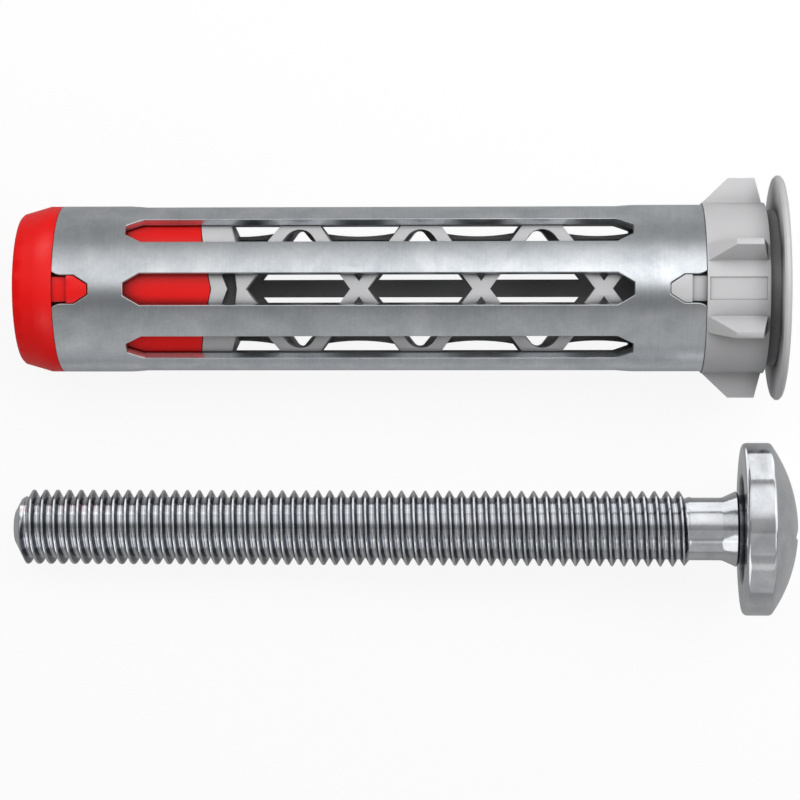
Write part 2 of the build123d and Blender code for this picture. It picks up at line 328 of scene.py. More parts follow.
@dataclass(frozen=True, kw_only=True)
class GalvanisedSheet(ZincSurface):
    """Hot-dip galvanised sheet steel, slit, punched and rolled into a tube.

    Zinc gives it a cool grey, with soft clouds and faint crystals, and the rolls leave fine lines around it.
    It is smoother where it is pale.
    """

    name: str = "galvanised_sheet_rolled"
    roughness: Pair = (0.37, 0.28)
    bump_mm: float = 0.004
    bump_strength: float = 0.35
    pale: str = "E8EBEE"
    dull: str = "BAC1C7"
    cloud_mm: float = 2.6
    cloud_span: Pair = (0.3, 0.7)
    cloud_tone: Pair = (-0.12, 0.45)
    crystal_mm: float = 1.1
    crystal_weight: float = 0.16
    # The real lines and grit are finer than the render can show, so both are drawn as coarse as they need.
    line_mm: float = 0.16
    line_length_mm: float = 2.4
    line_weight: float = 0.35
    grit_mm: float = 0.2
    grit_weight: float = 0.35
    grit_height: float = 0.08
    tone_span: Pair = (0.1, 0.9)
    tube_radius_mm: float = 5.45

    def surface(self, tree: NodeTree, point: NodeSocket) -> dict:
        """Draws clouds, crystals, lines and grit, which set the grey and how smooth it is.

        Args:
            tree: The material's node tree.
            point: Coordinates in millimetres along and across the axis.

        Returns:
            The shader's inputs by name.
        """
        clouds = {
            "Vector": point,
            "Scale": 1 / self.cloud_mm,
            "Detail": 4.0,
            "Roughness": 0.6,
            "Distortion": 0.6,
        }
        cloud = add(tree, "ShaderNodeTexNoise", clouds).outputs[0]
        cells = {"Vector": self.unrolled(tree, point, 1.0, 1.0), "Scale": 1 / self.crystal_mm}
        crystals = add(tree, "ShaderNodeTexVoronoi", cells, feature="SMOOTH_F1").outputs["Color"]
        crystal = add(tree, "ShaderNodeSeparateColor", {"Color": crystals}).outputs["Red"]
        line = self.marks(tree, point, self.line_mm, self.line_length_mm)
        grains = {"Vector": point, "Scale": 1 / self.grit_mm, "Detail": 1.0}
        grit = add(tree, "ShaderNodeTexNoise", grains).outputs[0]
        patterns = [(crystal, self.crystal_weight), (line, self.line_weight), (grit, self.grit_weight)]
        tone, grey = self.greys(tree, cloud, patterns)
        parts = {0: grit, 1: self.grit_height, 2: line}
        height = add(tree, "ShaderNodeMath", parts, operation="MULTIPLY_ADD").outputs[0]
        texture = self.texture(tree, tone, self.tone_span, height)
        return {"Metallic": 1.0, "Base Color": grey, **texture}


@dataclass(frozen=True, kw_only=True)
class ZincPlatedSteel(ZincSurface):
    """Carbon steel, cold headed and thread rolled, then bright zinc plated.

    It shines almost like a mirror, with a faint cloudiness and fine marks that run around the axis. The
    flanks of the thread get painted shade between its bright crests and roots, and so does the
    groove under the head.
    """

    name: str = "steel_bright_zinc_plated"
    roughness: Pair = (0.09, 0.17)
    bump_mm: float = 0.003
    pale: str = "E4E6E9"
    dull: str = "C4C7CC"
    cloud_mm: float = 1.5
    cloud_span: Pair = (0.35, 0.65)
    cloud_tone: Pair = (0.1, 0.7)
    # The real marks and specks are finer than the render can show, so both are drawn as coarse as they need.
    mark_mm: float = 0.12
    mark_length_mm: float = 3.0
    mark_span: Pair = (0.3, 0.7)
    speck_mm: float = 0.2
    speck_weight: float = 0.4
    tube_radius_mm: float = 2.5
    # Painted shade: the thread's flanks and the groove under the head are darkened.
    flank_painted_shade: str = "98999C"
    flank_foot_mm: Pair = (2.09, 2.16)
    flank_crest_mm: Pair = (2.4, 2.47)
    thread_end_mm: float = 44.9
    groove_painted_shade: str = "7C7E82"
    groove_mm: Pair = (48.1, 49.05)
    groove_radius_mm: float = 3.7
    fade_mm: float = 0.1
    groove_fade_mm: float = 0.05

    def surface(self, tree: NodeTree, point: NodeSocket) -> dict:
        """Draws clouds, marks and specks, and lays painted shade over the flanks and the groove.

        Args:
            tree: The material's node tree.
            point: Coordinates in millimetres along and across the axis.

        Returns:
            The shader's inputs by name.
        """
        clouds = {"Vector": point, "Scale": 1 / self.cloud_mm, "Detail": 3.0, "Distortion": 0.5}
        cloud = add(tree, "ShaderNodeTexNoise", clouds).outputs[0]
        mark = self.marks(tree, point, self.mark_mm, self.mark_length_mm)
        specks = {"Vector": point, "Scale": 1 / self.speck_mm, "Detail": 2.0}
        speck = add(tree, "ShaderNodeTexNoise", specks).outputs[0]
        _, grey = self.greys(tree, cloud, [(speck, self.speck_weight)])
        colour = self.painted_darker(tree, grey, self.painted_flank_and_groove_shade(tree, point))
        return {"Metallic": 1.0, "Base Color": colour, **self.texture(tree, mark, self.mark_span, mark)}

    def painted_flank_and_groove_shade(self, tree: NodeTree, point: NodeSocket) -> list[tuple[NodeSocket, str]]:
        """Works out how far a point is on a flank of the thread, and in the groove under the head.

        Args:
            tree: The material's node tree.
            point: Coordinates in millimetres along and across the axis.

        Returns:
            Pairs of how far the painted shade covers the point, and its colour.
        """
        radius = self.radius(tree, point)
        station = add(tree, "ShaderNodeSeparateXYZ", {"Vector": point}).outputs["X"]
        start, end = self.groove_mm
        flank = [
            (radius, self.flank_foot_mm, RISE),
            (radius, self.flank_crest_mm, FALL),
            (station, (self.thread_end_mm - self.fade_mm, self.thread_end_mm), FALL),
        ]
        groove = [
            (station, (start, start + self.groove_fade_mm), RISE),
            (station, (end, end + self.groove_fade_mm), FALL),
            (radius, (self.groove_radius_mm - self.fade_mm, self.groove_radius_mm), FALL),
        ]
        # Painted shade on the flanks of the thread and in the groove under the head.
        painted_shades = []
        for limits, shade in ((flank, self.flank_painted_shade), (groove, self.groove_painted_shade)):
            share = 1.0
            for value, span, result in limits:
                inside = add(tree, "ShaderNodeMapRange", {"Value": value, SPAN: span, RESULT: result})
                both = {0: share, 1: inside.outputs[0]}
                share = add(tree, "ShaderNodeMath", both, operation="MULTIPLY").outputs[0]
            painted_shades.append((share, shade))
        return painted_shades


@dataclass(frozen=True, kw_only=True)
class MouldedPlastic(Finish):
    """Polyamide, injection moulded in a spark-eroded mould.

    The mould leaves a fine even grain with a satin shine, and the flow of the melt leaves faint clouds. The
    bore and the walls towards it get painted shade, darker towards the axis. Corners and the edges beside
    neighbouring pieces get painted shade, drawn from ambient occlusion.
    """

    colour: str
    shade: str
    roughness: Pair = (0.36, 0.46)
    bump_mm: float = 0.004
    specular: float = 0.5
    ior: float = 1.53
    cloud_mm: float = 3.5
    # The real grain is finer than the render can show, so it is drawn as coarse as it needs.
    grain_mm: float = 0.11
    grain_span: Pair = (0.3, 0.7)
    # Painted shade: the bore and the walls towards it are darkened towards the axis.
    bore_painted_shade: str = "FFFFFF"
    bore_radii_mm: Pair = (3.3, 4.7)
    # Painted shade: corners and the edges beside neighbouring pieces are darkened by ambient occlusion.
    corner_painted_shade: str = "404042"
    corner_shade_reach_mm: float = 2.0
    corner_shade_ao_span: Pair = (0.3, 0.94)

    def surface(self, tree: NodeTree, point: NodeSocket) -> dict:
        """Draws clouds and grain, and the painted shade of the bore and of the corners.

        Args:
            tree: The material's node tree.
            point: Coordinates in millimetres along and across the axis.

        Returns:
            The shader's inputs by name.
        """
        clouds = {"Vector": point, "Scale": 1 / self.cloud_mm, "Detail": 3.0, "Distortion": 0.8}
        cloud = add(tree, "ShaderNodeTexNoise", clouds).outputs[0]
        grains = {"Vector": point, "Scale": 1 / self.grain_mm, "Detail": 2.0}
        grain = add(tree, "ShaderNodeTexNoise", grains).outputs[0]
        mix = {"Factor": cloud, "A": linear(self.shade), "B": linear(self.colour)}
        colour = add(tree, "ShaderNodeMix", mix, data_type="RGBA").outputs["Result"]
        # Ambient occlusion drives the painted shade in the corners.
        reach = {"Distance": self.corner_shade_reach_mm * MM}
        open_air = add(tree, "ShaderNodeAmbientOcclusion", reach, samples=8).outputs["AO"]
        painted_shades = []
        # Painted shade: darker towards the axis in the bore, and in the corners by ambient occlusion.
        for value, span, shade in (
            (self.radius(tree, point), self.bore_radii_mm, self.bore_painted_shade),
            (open_air, self.corner_shade_ao_span, self.corner_painted_shade),
        ):
            share = add(tree, "ShaderNodeMapRange", {"Value": value, SPAN: span, RESULT: FALL})
            painted_shades.append((share.outputs[0], shade))
        return {
            "IOR": self.ior,
            "Specular IOR Level": self.specular,
            "Base Color": self.painted_darker(tree, colour, painted_shades),
            **self.texture(tree, grain, self.grain_span, grain),
        }


def modify(piece: Object, kind: str, name: str, **settings) -> None:
    """Adds a modifier to a piece.

    Args:
        piece: The piece's object.
        kind: Blender's name of the modifier's type.
        name: The modifier's name.
        **settings: The modifier's properties.
    """
    made = piece.modifiers.new(name, kind)
    for key, value in settings.items():
        setattr(made, key, value)


@dataclass
class CarriedNode:
    """A CAD node that keeps its solid and gets softened edges and its finish."""

    node: str
    finish: Finish
    edge_mm: float
    edge_steps: int = 2
    edge_angle: float = 28.0
    weld_mm: float = 0.002

    def build(self) -> Object:
        """Softens the node's edges and dresses it.

        Returns:
            The node's object.
        """
        piece = frame["nodes"][self.node]
        self.soften(piece)
        piece.data.materials.clear()
        piece.data.materials.append(self.finish.build(ANCHOR))
        return piece

    def soften(self, piece: Object) -> None:
        """Joins the solid's faces and rounds their sharp edges, by modifiers that don't touch the mesh.

        Args:
            piece: The node's object.
        """
        modify(piece, "WELD", "join_faces", merge_threshold=self.weld_mm * MM)
        modify(
            piece,
            "BEVEL",
            "soften_edges",
            width=self.edge_mm * MM,
            segments=self.edge_steps,
            limit_method="ANGLE",
            angle_limit=math.radians(self.edge_angle),
            use_clamp_overlap=True,
        )
        modify(piece, "WEIGHTED_NORMAL", "flat_faces_lead", mode="FACE_AREA", weight=50)


@dataclass(frozen=True)
class ThreadForm:
    """ISO metric thread M5, 0.8 mm pitch. A rolled root is round, and a crest is a narrow flat."""

    pitch: float = 0.8
    crest_radius: float = 2.5
    crest_flat: float = 0.1
    crest_round: float = 0.035
    root_round: float = 0.115
    root_steps: int = 3
    flank: float = math.radians(60)

    def profile(self) -> Points:
        """Gives one turn of the outside thread, from the middle of a root on.

        Returns:
            Pairs of distance along the axis and radius, in millimetres.
        """
        half = []
        flank_end = (self.pitch - self.crest_flat) / 2
        flank_start = self.root_round * math.sin(self.flank)
        flank_foot = self.crest_radius - (flank_end - flank_start) * math.tan(self.flank)
        root_centre = flank_foot + self.root_round * math.cos(self.flank)
        for step in range(self.root_steps + 1):
            turn = self.flank * step / self.root_steps
            half.append((self.root_round * math.sin(turn), root_centre - self.root_round * math.cos(turn)))
        crest_centre = flank_end + self.crest_round * math.tan(self.flank / 2)
        for turn in (self.flank, self.flank / 2, 0.0):
            x = crest_centre - self.crest_round * math.sin(turn)
            half.append((x, self.crest_radius - self.crest_round * (1 - math.cos(turn))))
        return half + [(self.pitch - x, radius) for x, radius in reversed(half[1:])]

    def inside_profile(self, depth: float) -> Points:
        """Gives one turn of the inside thread, from the middle of a root on.

        Args:
            depth: The thread's depth.

        Returns:
            Pairs of distance along the axis and radius, in millimetres.
        """
        crest = self.crest_radius - depth
        half = [
            (0.0, self.crest_radius),
            (self.crest_flat / 2, self.crest_radius),
            (self.crest_flat / 2 + depth / math.tan(self.flank), crest),
        ]
        return half + [(self.pitch - x, radius) for x, radius in reversed(half[1:])]

    def add_skin(
        self,
        shape: BMesh,
        sides: int,
        start: float,
        end: float,
        profile: Points,
        trim: Callable[[float, float], float],
    ) -> tuple[list[BMVert], list[BMVert]]:
        """Adds a tube whose wall is a right-hand helical thread.

        Args:
            shape: The mesh that gets the tube, in millimetres.
            sides: Number of steps round the axis.
            start: Station of the tube's front end.
            end: Station of its back end.
            profile: One turn of the thread.
            trim: Gives the wall's radius from the station and the thread's radius there.

        Returns:
            The vertices of the front ring and of the back ring.
        """
        turns = range(math.floor(start / self.pitch) - 1, math.ceil(end / self.pitch) + 1)
        columns = [(turn * self.pitch + x, radius) for turn in turns for x, radius in profile]
        rows = []
        for side in range(sides):
            angle = 2 * math.pi * side / sides
            row = []
            for x, radius in columns:
                station = min(end, max(start, x + self.pitch * side / sides))
                reach = trim(station, radius)
                row.append(shape.verts.new((station, reach * math.cos(angle), reach * math.sin(angle))))
            rows.append(row)
        rows.append(rows[0][len(profile) :])
        for here, there in zip(rows, rows[1:]):
            for k in range(min(len(here), len(there)) - 1):
                shape.faces.new((here[k], there[k], there[k + 1], here[k + 1]))
        return [row[0] for row in rows[:-1]], [row[-1] for row in rows[:-1]]


def add_ring(shape: BMesh, x: float, radii: list[float]) -> list[BMVert]:
    """Adds a ring of vertices round the axis at one station.

    Args:
        shape: The mesh that gets the ring.
        x: Station along the axis.
        radii: Radius at each step round the axis.

    Returns:
        The new vertices.
    """
    angles = [2 * math.pi * side / len(radii) for side in range(len(radii))]
    return [shape.verts.new((x, r * math.cos(a), r * math.sin(a))) for r, a in zip(radii, angles)]


def join_rings(shape: BMesh, first: list[BMVert], second: list[BMVert]) -> None:
    """Joins two rings by a strip of faces.

    Args:
        shape: The mesh that gets the faces.
        first: The vertices of one ring.
        second: As many vertices of the other ring.
    """
    for i, vertex in enumerate(first):
        after = (i + 1) % len(first)
        shape.faces.new((vertex, second[i], second[after], first[after]))


def close_ring(shape: BMesh, ring: list[BMVert], x: float) -> None:
    """Closes a ring by a fan of faces to a point on the axis.

    Args:
        shape: The mesh that gets the faces.
        ring: The ring's vertices.
        x: Station of the point.
    """
    middle = shape.verts.new((x, 0.0, 0.0))
    for i, vertex in enumerate(ring):
        shape.faces.new((vertex, middle, ring[(i + 1) % len(ring)]))


def finish_object(name: str, shape: BMesh, place: AxisFrame | None) -> Object:
    """Turns a straight mesh in millimetres into an object that lies in its place.

    Args:
        name: The object's name.
        shape: The mesh, which is freed.
        place: Where the piece lies, or None if it stays straight.

    Returns:
        The new object, linked to the scene.
    """
    bmesh.ops.remove_doubles(shape, verts=shape.verts, dist=WELD_MM)
    bmesh.ops.recalc_face_normals(shape, faces=shape.faces)
    bmesh.ops.scale(shape, vec=(MM, MM, MM), verts=shape.verts)
    mesh = bpy.data.meshes.new(name)
    shape.to_mesh(mesh)
    shape.free()
    if place is not None:
        mesh.transform(place.matrix)
    made = bpy.data.objects.new(name, mesh)
    bpy.context.scene.collection.objects.link(made)
    return made


def arc(x: float, radius: float, bend: float, start: float, end: float, steps: int) -> Points:
    """Gives an arc of a turned outline.

    Args:
        x: Station of the arc's centre.
        radius: The centre's distance from the axis.
        bend: The arc's own radius.
        start: Angle at its first point, in radians from the axis's direction.
        end: Angle at its last point.
        steps: Number of steps between them.

    Returns:
        Pairs of station and radius.
    """
    turns = [start + (end - start) * step / steps for step in range(steps + 1)]
    return [(x + bend * math.cos(turn), radius + bend * math.sin(turn)) for turn in turns]


def shade_smooth(piece: Object, angle: float) -> None:
    """Shades a mesh smooth, apart from edges sharper than this many degrees."""
    piece.data.shade_smooth()
    piece.data.set_sharp_from_angle(angle=math.radians(angle))


def cut_away(piece: Object, cutter: Object) -> None:
    """Cuts a body out of a piece for good, and deletes the body.

    Args:
        piece: The piece that is cut.
        cutter: The body that is taken away.
    """
    modify(piece, "BOOLEAN", "cut", operation="DIFFERENCE", solver="EXACT", object=cutter)
    settle(piece)
    bpy.data.objects.remove(cutter)


def settle(piece: Object) -> None:
    """Makes what a piece's modifiers give its own mesh, and takes the modifiers off.

    Args:
        piece: The piece's object.
    """
    bpy.context.view_layer.update()
    depsgraph = bpy.context.evaluated_depsgraph_get()
    mesh = bpy.data.meshes.new_from_object(piece.evaluated_get(depsgraph))
    piece.modifiers.clear()
    piece.data = mesh


@dataclass
class PunchedSleeve:
    """The sleeve, made as the real one is: a flat strip is slit and notched, then rolled into a tube."""

    finish: GalvanisedSheet
    front: float = 2.65
    length: float = 41.9
    radius: float = 5.45
    thickness: float = 0.5
    seam_gap: float = 0.12
    seam_line: float = 0.2
    seam_margin: float = 0.3
    slot_count: int = 8
    slot_margin: float = 4.6
    slot_half_width: float = 1.03
    slot_half_tip: float = 0.4
    slot_tip_run: float = 1.05
    notch_depth: float = 2.33
    notch_half_width: float = 0.925
    notch_half_mouth: float = 1.15
    notch_mouth_run: float = 0.65
    notch_half_tip: float = 0.35
    notch_tip_run: float = 0.9
    mouth_lead: float = 0.02
    mouth_overlap: float = 1.0
    mouth_steps: int = 5
    # How far the bends lie from a slot's middle line. They are closer beside its edges.
    bend_lines: tuple[float, ...] = (0.0, 0.26, 0.52, 0.78, 1.22, 1.42, 1.64, 1.88)
    edge_mm: float = 0.06
    edge_steps: int = 3
    edge_angle: float = 30.0
    flat_normal: float = 0.999

    @property
    def slot_lines(self) -> list[float]:
        """The middle lines of the slots, from seam to seam, with the crown's at 0."""
        period = 2 * math.pi * self.radius / self.slot_count
        return [slot * period for slot in range(-self.slot_count // 2, self.slot_count // 2 + 1)]

    def build(self) -> Object:
        """Punches, breaks the edges of, rolls and dresses the sleeve.

        Returns:
            The sleeve's object.
        """
        piece = finish_object("sleeve_punched_and_rolled", self.strip(), None)
        cut_away(piece, finish_object("sleeve_punches", self.punches(), None))
        modify(
            piece,
            "BEVEL",
            "broken_edges",
            width=self.edge_mm * MM,
            segments=self.edge_steps,
            limit_method="ANGLE",
            angle_limit=math.radians(self.edge_angle),
        )
        settle(piece)
        self.roll_up(piece)
        piece.data.transform(ANCHOR.matrix)
        piece.data.materials.append(self.finish.build(ANCHOR))
        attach(piece, ROOT_BODY)
        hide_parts("sleeve")
        return piece

    def strip(self) -> BMesh:
        """Makes the flat strip, with a line of faces for each bend of the roll.

        Returns:
            The strip's mesh: x along the tube, y round it from the crown, z out from its inside.
        """
        half = math.pi * self.radius - self.seam_gap / 2
        between_slots = math.pi * self.radius / self.slot_count
        lines = {-half, half, -half + self.seam_line, half - self.seam_line}
        for middle in self.slot_lines:
            for line in self.bend_lines + (between_slots,):
                for place in (middle + line, middle - line):
                    if abs(place) < half - self.seam_margin:
                        lines.add(round(place, 4))
        shape = bmesh.new()
        section = [(y, self.thickness) for y in sorted(lines)]
        section += [(y, 0.0) for y in sorted(lines, reverse=True)]
        ends = [
            [shape.verts.new((x, y, z)) for y, z in section]
            for x in (self.front, self.front + self.length)
        ]
        join_rings(shape, ends[0], ends[1])
        count = len(section)
        for ring in ends:
            for i in range(count // 2 - 1):
                shape.faces.new((ring[i], ring[i + 1], ring[count - 2 - i], ring[count - 1 - i]))
        return shape

    def slot_outline(self) -> Points:
        """Gives a slot's outline with the slot's middle line at y = 0.

        Returns:
            Pairs of x along the tube and y round it.
        """
        start = self.front + self.slot_margin
        end = self.front + self.length - self.slot_margin
        half = [
            (start, self.slot_half_tip),
            (start + self.slot_tip_run, self.slot_half_width),
            (end - self.slot_tip_run, self.slot_half_width),
            (end, self.slot_half_tip),
        ]
        return half + [(x, -y) for x, y in reversed(half)]

    def notch_outline(self, mouth: float, inward: int) -> Points:
        """Gives a notch's outline.

        Args:
            mouth: Station of the end of the strip that the notch opens at.
            inward: 1 if the strip lies behind that end, and -1 if in front of it.

        Returns:
            The outline, which reaches past the end of the strip.
        """
        drop = self.notch_half_mouth - self.notch_half_width
        curve = (self.notch_mouth_run**2 + drop**2) / (2 * drop)
        leads = (self.mouth_overlap, self.mouth_lead)
        half = [(mouth - inward * lead, self.notch_half_mouth) for lead in leads]
        for step in range(self.mouth_steps + 1):
            run = self.notch_mouth_run * step / self.mouth_steps
            rest = self.notch_mouth_run - run
            half.append((mouth + inward * run, self.notch_half_width + curve - math.sqrt(curve**2 - rest**2)))
        half += [
            (mouth + inward * (self.notch_depth - self.notch_tip_run), self.notch_half_width),
            (mouth + inward * self.notch_depth, self.notch_half_tip),
        ]
        return half + [(x, -y) for x, y in reversed(half)]

    def punches(self) -> BMesh:
        """Makes the punches, which have the shapes of the slots and notches.

        Returns:
            Their mesh, with the same coordinates as the strip's.
        """
        middles = self.slot_lines
        outlines = [[(x, y + middle) for x, y in self.slot_outline()] for middle in middles]
        for middle in (middles[0], 0.0, middles[-1]):
            for mouth, inward in ((self.front, 1), (self.front + self.length, -1)):
                outlines.append([(x, y + middle) for x, y in self.notch_outline(mouth, inward)])
        shape = bmesh.new()
        for outline in outlines:
            low = [shape.verts.new((x, y, -self.thickness)) for x, y in outline]
            high = [shape.verts.new((x, y, 2 * self.thickness)) for x, y in outline]
            join_rings(shape, low, high)
            shape.faces.new(low)
            shape.faces.new(high)
        return shape

    def roll_up(self, piece: Object) -> None:
        """Rolls the flat strip round its x axis, with its middle line on the crown.

        Its two faces get the normals of a true tube, so that the lines of the roll don't show as flats.

        Args:
            piece: The sleeve's object, still flat.
        """
        mesh = piece.data
        inside = self.radius - self.thickness
        round_faces = {}
        for face in mesh.polygons:
            if abs(face.normal.z) > self.flat_normal:
                for index in face.vertices:
                    round_faces[index] = math.copysign(1.0, face.normal.z)
        for vertex in mesh.vertices:
            x, y, z = (c / MM for c in vertex.co)
            angle = y / self.radius
            vertex.co = Vector((x, (inside + z) * math.sin(angle), (inside + z) * math.cos(angle))) * MM
        mesh.shade_smooth()
        modify(piece, "WEIGHTED_NORMAL", "flat_faces_lead", mode="FACE_AREA", weight=50)
        settle(piece)
        mesh = piece.data
        corners = []
        for corner, normal in zip(mesh.loops, mesh.corner_normals):
            sense = round_faces.get(corner.vertex_index)
            away = mesh.vertices[corner.vertex_index].co * Vector((0.0, 1.0, 1.0))
            corners.append(away.normalized() * sense if sense else normal.vector)
        mesh.normals_split_custom_set(corners)


@dataclass
class MachineScrew:
    """M5 machine screw with a domed round head: rolled thread, plain neck, flare and cross recess."""

    finish: ZincPlatedSteel
    thread: ThreadForm = ThreadForm()
    sides: int = 72
    point_radius: float = 1.15
    point_length: float = 0.75
    thread_end: float = 44.65
    run_out: float = 0.5
    shank_radius: float = 2.07
    flare_start: float = 47.15
    flare_end: float = 48.1
    groove_radius: float = 2.3
    underside: float = 48.5
    relief_depth: float = 0.45
    relief_radius: float = 3.5
    relief_slope: float = 0.18
    head_radius: float = 5.7
    head_side: float = 2.05
    flare_soft: float = 0.075
    edge_round: float = 0.3
    edge_steps: int = 5
    dome_height: float = 1.62
    dome_steps: int = 24
    recess_half_span: float = 2.3
    recess_half_wing: float = 0.5
    recess_depth: float = 2.3
    recess_point: float = 0.35
    recess_taper: float = math.radians(9)
    recess_lip: float = 0.4
    smooth_angle: float = 35.0

    @property
    def apex(self) -> float:
        """Station of the dome's highest point."""
        return self.underside + self.head_side + self.dome_height

    @property
    def rim(self) -> float:
        """Radius at which the head's edges start to turn."""
        return self.head_radius - self.edge_round

    def build(self) -> Object:
        """Builds the screw, cuts its recess and dresses it.

        Returns:
            The screw's object.
        """
        shape = bmesh.new()
        tip, neck = self.thread.add_skin(
            shape, self.sides, 0.0, self.thread_end + self.run_out, self.thread.profile(), self.trim
        )
        close_ring(shape, tip, 0.0)
        self.add_head(shape, neck)
        piece = finish_object("machine_screw", shape, SCREW)
        cut_away(piece, self.cross_cutter())
        shade_smooth(piece, self.smooth_angle)
        piece.data.materials.append(self.finish.build(SCREW))
        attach(piece, ROOT_BODY)
        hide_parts("screw")
        return piece

    def trim(self, x: float, radius: float) -> float:
        """Holds the thread inside the pointed tip and fades it out into the neck.

        Args:
            x: Station along the screw.
            radius: The thread's radius there.

        Returns:
            The radius that the screw has there.
        """
        rise = (self.thread.crest_radius - self.point_radius) / self.point_length
        radius = min(radius, self.point_radius + rise * x)
        share = min(1.0, max(0.0, (x - self.thread_end) / self.run_out))
        return radius + (self.shank_radius - radius) * share

    def outline(self) -> Points:
        """Gives the turned outline behind the neck's first ring, to the edge of the dome.

        Returns:
            Pairs of station and radius.
        """
        floor = self.underside + self.relief_depth
        soft = self.flare_soft
        points = [
            (self.flare_start - soft, self.shank_radius),
            (self.flare_start + soft, self.shank_radius + soft / 3),
            (self.flare_end - soft, self.thread.crest_radius - soft / 2),
            (self.flare_end, self.thread.crest_radius),
            (self.flare_end + soft, self.thread.crest_radius - soft),
            (self.flare_end + soft * 2, self.groove_radius),
            (floor, self.groove_radius),
            (floor, self.relief_radius),
            (self.underside, self.relief_radius + self.relief_slope),
            (self.underside, self.rim - self.edge_round),
        ]
        edge_centre = self.underside + self.edge_round
        return points + arc(edge_centre, self.rim, self.edge_round, math.pi, math.pi / 2, self.edge_steps)

    def dome(self) -> Points:
        """Gives the outline of the round edge and the dome, which touch without a corner.

        Returns:
            Pairs of station and radius, down to the last ring before the axis.
        """
        sphere = (self.rim**2 + self.dome_height**2) / (2 * self.dome_height)
        centre = self.apex - sphere
        edge_centre = centre + math.sqrt((sphere - self.edge_round) ** 2 - self.rim**2)
        meeting = math.atan2(self.rim, edge_centre - centre)
        edge = arc(edge_centre, self.rim, self.edge_round, math.pi / 2, meeting, self.edge_steps)
        return edge + arc(centre, 0.0, sphere, meeting, 0.0, self.dome_steps)[1:-1]

    def add_head(self, shape: BMesh, neck: list[BMVert]) -> None:
        """Adds the neck, the flare and the head.

        Args:
            shape: The screw's mesh.
            neck: The thread's last ring.
        """
        previous = neck
        for x, radius in self.outline() + self.dome():
            ring = add_ring(shape, x, [radius] * self.sides)
            join_rings(shape, previous, ring)
            previous = ring
        close_ring(shape, previous, self.apex)

    def cross_cutter(self) -> Object:
        """Makes a body that fills the cross recess: four wings that narrow to a point.

        Returns:
            The cutter's object.
        """
        shape = bmesh.new()
        rings = []
        for depth in (-self.recess_lip, self.recess_depth):
            inset = depth * math.tan(self.recess_taper)
            span, wing = self.recess_half_span - inset, self.recess_half_wing - inset
            quarter = [(wing, wing), (wing, span), (-wing, span)]
            ring = []
            for quarter_turn in range(4):
                for y, z in quarter:
                    for _ in range(quarter_turn):
                        y, z = -z, y
                    ring.append(shape.verts.new((self.apex - depth, y, z)))
            rings.append(ring)
        join_rings(shape, rings[0], rings[1])
        shape.faces.new(rings[0])
        close_ring(shape, rings[1], self.apex - self.recess_depth - self.recess_point)
        return finish_object("cross_cutter", shape, SCREW)


@dataclass
class HexagonNut:
    """The long hexagon nut in the cap: cone-turned ends and an inside thread."""

    finish: ZincPlatedSteel
    thread: ThreadForm = ThreadForm()
    sides: int = 72
    front: float = 2.7
    length: float = 9.0
    across_flats: float = 7.4
    corner_chamfer: float = 0.35
    thread_depth: float = 0.4
    smooth_angle: float = 25.0

    def build(self) -> Object:
        """Builds the nut and dresses it.

        Returns:
            The nut's object.
        """
        shape = bmesh.new()
        back = self.front + self.length
        first, last = self.thread.add_skin(
            shape, self.sides, self.front, back, self.thread.inside_profile(self.thread_depth), self.trim
        )
        hexagon = [self.hexagon_radius(2 * math.pi * side / self.sides) for side in range(self.sides)]
        corner = self.across_flats / math.sqrt(3)
        faced = corner - self.corner_chamfer
        cone = [max(0.0, radius - faced) for radius in hexagon]
        face = [min(radius, faced) for radius in hexagon]
        rings = [first, add_ring(shape, self.front, face)]
        for base, sense in ((self.front, 1), (back, -1)):
            ring = add_ring(shape, 0.0, hexagon)
            for vertex, run in zip(ring, cone):
                vertex.co.x = base + sense * run
            rings.append(ring)
        rings += [add_ring(shape, back, face), last]
        for here, there in zip(rings, rings[1:]):
            join_rings(shape, here, there)
        piece = finish_object("captive_nut", shape, ANCHOR)
        shade_smooth(piece, self.smooth_angle)
        piece.data.materials.append(self.finish.build(ANCHOR))
        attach(piece, ROOT_BODY)
        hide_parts("nut")
        return piece

    def hexagon_radius(self, angle: float) -> float:
        """Gives the hexagon's radius at an angle from a corner, in radians."""
        return self.across_flats / 2 / math.cos(angle % (math.pi / 3) - math.pi / 6)

    def trim(self, x: float, radius: float) -> float:
        """Opens the thread by a cone at both ends of the nut."""
        lead = min(x - self.front, self.front + self.length - x)
        return max(radius, self.thread.crest_radius - lead)


def set_stops(ramp: Node, stops: Points) -> None:
    """Fills a colour ramp with grey stops.

    Args:
        ramp: The ramp's node, as it is made.
        stops: Pairs of a stop's position and its brightness.
    """
    elements = ramp.color_ramp.elements
    elements.remove(elements[1])
    for number, (position, light) in enumerate(stops):
        stop = elements[0] if number == 0 else elements.new(position)
        stop.position = position
        stop.color = (light, light, light, 1.0)


